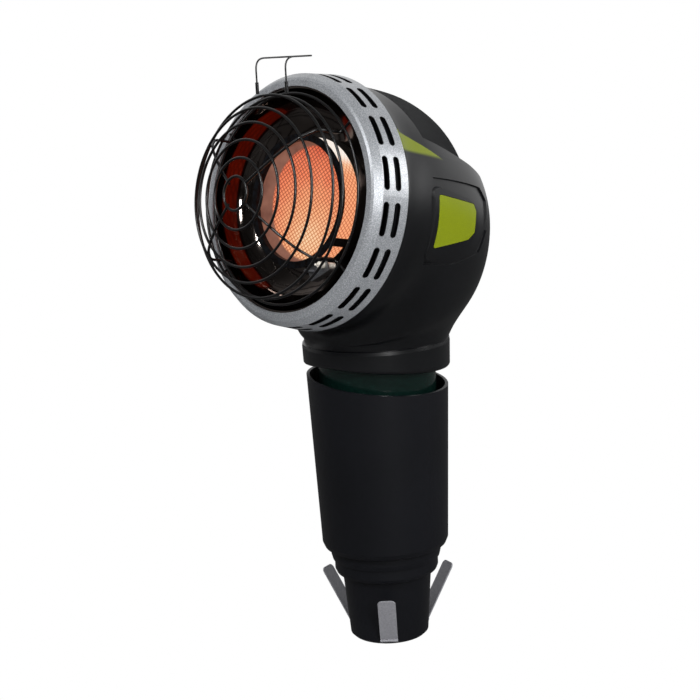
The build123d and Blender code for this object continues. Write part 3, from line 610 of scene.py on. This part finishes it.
finishes = {
    "black_moulding": mouldedBlackAbs(),
    "black_plug": mouldedBlackPolypropylene(),
    "lime_moulding": mouldedLimeAbs(),
    "silver_paint": silverPaintedSteel(),
    "black_wire": enamelledWire(),
    "polished_steel": polishedSteel(),
    "ceramic_white": glazedCeramic(),
    "dull_steel": plainSteelSheet(),
    "spring_steel": springSteel(),
    "green_enamel": greenEnamel(),
    "brass": turnedBrass(),
    "rubber": nitrileRubber(),
    "ceramic": glowingScreen(),
    "hot_screen": glowingScreen(),
}
# nodes whose finish differs from the rest of their slot
ownFinish = {
    "reflector": darkenedMirrorSteel(),
    "burner_can": glowingSide(),
    "burner_rim": heatBluedSteel(),
    "grip_insert": finishes["black_moulding"],
}
slotOfNode = {entry["node"]: entry["material_slot"] for entry in frame["record"]["subparts"]}
for name, piece in nodes.items():
    piece.data.materials.clear()
    piece.data.materials.append(ownFinish.get(name) or finishes[slotOfNode[name]])
print("materials on every node")

guard = {
    "centre": (0, -0.093, 0.388),
    "tilt": 11.1,
    "twist": 4.0,
    "wire": 0.00110,      # radius of the wire
    "domeRings": 5,       # the rings before the dome turns into its straight side
    "spokeUnder": 1.9,    # how many wire radii a spoke lies under the rings
    "spokeBend": 0.0045,
    "radii": (0.0131, 0.0276, 0.0417, 0.0556, 0.0675, 0.0786, 0.0788, 0.0830),
    "reach": (0.0520, 0.0492, 0.0456, 0.0410, 0.0356, 0.0245, 0.0145, 0.0025),
    "spokes": (39, 141, 219, 321),
    "feet": 0.0891,       # radius where the spokes end
    "around": 120,
}
hangingLoop = {
    "wire": 0.00070,      # radius of the wire
    "ferrule": 0.0014,    # radius of the ferrules its legs stand in
    "ferruleHeight": 0.009,
    "legY": -0.10164,
    "low": 0.4706,
    "top": 0.498,
    "legs": (-0.0155, 0.0185),
    "run": 0.032,         # how far its top reaches back
    "bend": 0.009,
}


def fromHead(points, settings=guard):
    # head coordinates (across, up, reach) to the world, as rows of points
    t = math.radians(settings["tilt"])
    axes = np.array([(1, 0, 0), (0, math.sin(t), math.cos(t)), (0, -math.cos(t), math.sin(t))])
    return np.asarray(points, float) @ axes + np.array(settings["centre"])


def wires(name, runs, radius):
    # round wires as one curve piece: runs are (points, closed) pairs
    data = bpy.data.curves.new(name, "CURVE")
    data.dimensions = "3D"
    data.bevel_depth = radius
    data.bevel_resolution = 3
    data.use_fill_caps = True
    for points, closed in runs:
        spline = data.splines.new("POLY")
        spline.points.add(len(points) - 1)
        spline.points.foreach_set("co", np.c_[points, np.ones(len(points))].ravel())
        spline.use_cyclic_u = closed
        spline.use_smooth = True
    piece = bpy.data.objects.new(name, data)
    scene.collection.objects.link(piece)
    return piece


def smoothRun(corners, bend, steps=9):
    # straight runs whose corners are rounded with arcs drawn as (1-t)^2 a + 2t(1-t) corner + t^2 b
    corners = np.asarray(corners, float)
    points = [corners[0]]
    t = np.linspace(0, 1, steps)[:, None]
    for before, corner, after in zip(corners[:-2], corners[1:-1], corners[2:]):
        start = corner + (before - corner) * min(1, bend / np.linalg.norm(before - corner))
        end = corner + (after - corner) * min(1, bend / np.linalg.norm(after - corner))
        points.extend((1 - t) ** 2 * start + 2 * t * (1 - t) * corner + t ** 2 * end)
    points.append(corners[-1])
    return np.array(points)


def makeWireGuard(settings=guard):
    # rings: (r cos u, r sin u, reach); spokes: the rings' own (r, reach) outline, a little under them
    turn = np.linspace(0, 2 * math.pi, settings["around"], endpoint=False)
    runs = []
    for radius, reach in zip(settings["radii"], settings["reach"]):
        ring = np.c_[radius * np.cos(turn), radius * np.sin(turn), np.full_like(turn, reach)]
        runs.append((fromHead(ring), True))
    under = settings["spokeUnder"] * settings["wire"]
    radii, reach = np.array(settings["radii"]), np.array(settings["reach"])
    dome = slice(settings["domeRings"])
    lean = np.arctan2(-np.gradient(reach[dome]), np.gradient(radii[dome]))
    arch = np.c_[radii[dome] - under * np.sin(lean), reach[dome] - under * np.cos(lean)]
    side, shoulder, foot = radii[settings["domeRings"]] - under, reach[settings["domeRings"]], reach[-1] - under
    outline = np.r_[arch, [(side, shoulder), (side, foot), (settings["feet"], foot)]]
    outline = smoothRun(outline, settings["spokeBend"], 6)
    for spoke in settings["spokes"]:
        a = math.radians(spoke + settings["twist"])
        out = outline[:, 0]
        runs.append((fromHead(np.c_[out * math.cos(a), out * math.sin(a), outline[:, 1]]), False))
    return wires("guardWires", runs, settings["wire"])


def makeHangingLoop(settings=hangingLoop):
    # two upright legs whose wire bends back over the top, each leg in a short ferrule
    left, right = settings["legs"]
    y, low, top, back = settings["legY"], settings["low"], settings["top"], settings["legY"] + settings["run"]
    path = smoothRun([(left, y, low), (left, y, top), (left, back, top),
                      (right, back, top), (right, y, top), (right, y, low)], settings["bend"])
    loop = wires("loopWire", [(path, False)], settings["wire"])
    ferrules = [(np.array([(x, y, low), (x, y, low + settings["ferruleHeight"])]), False) for x in (left, right)]
    return loop, wires("loopFerrules", ferrules, settings["ferrule"])


guardPiece = makeWireGuard()
loopPiece, ferrulePiece = makeHangingLoop()
for piece, node in ((guardPiece, "wire_guard"), (loopPiece, "hanging_loop"), (ferrulePiece, "hanging_loop")):
    piece.data.materials.append(finishes["black_wire"])
    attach(piece, "heater")
    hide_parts(node)
print("wires made")
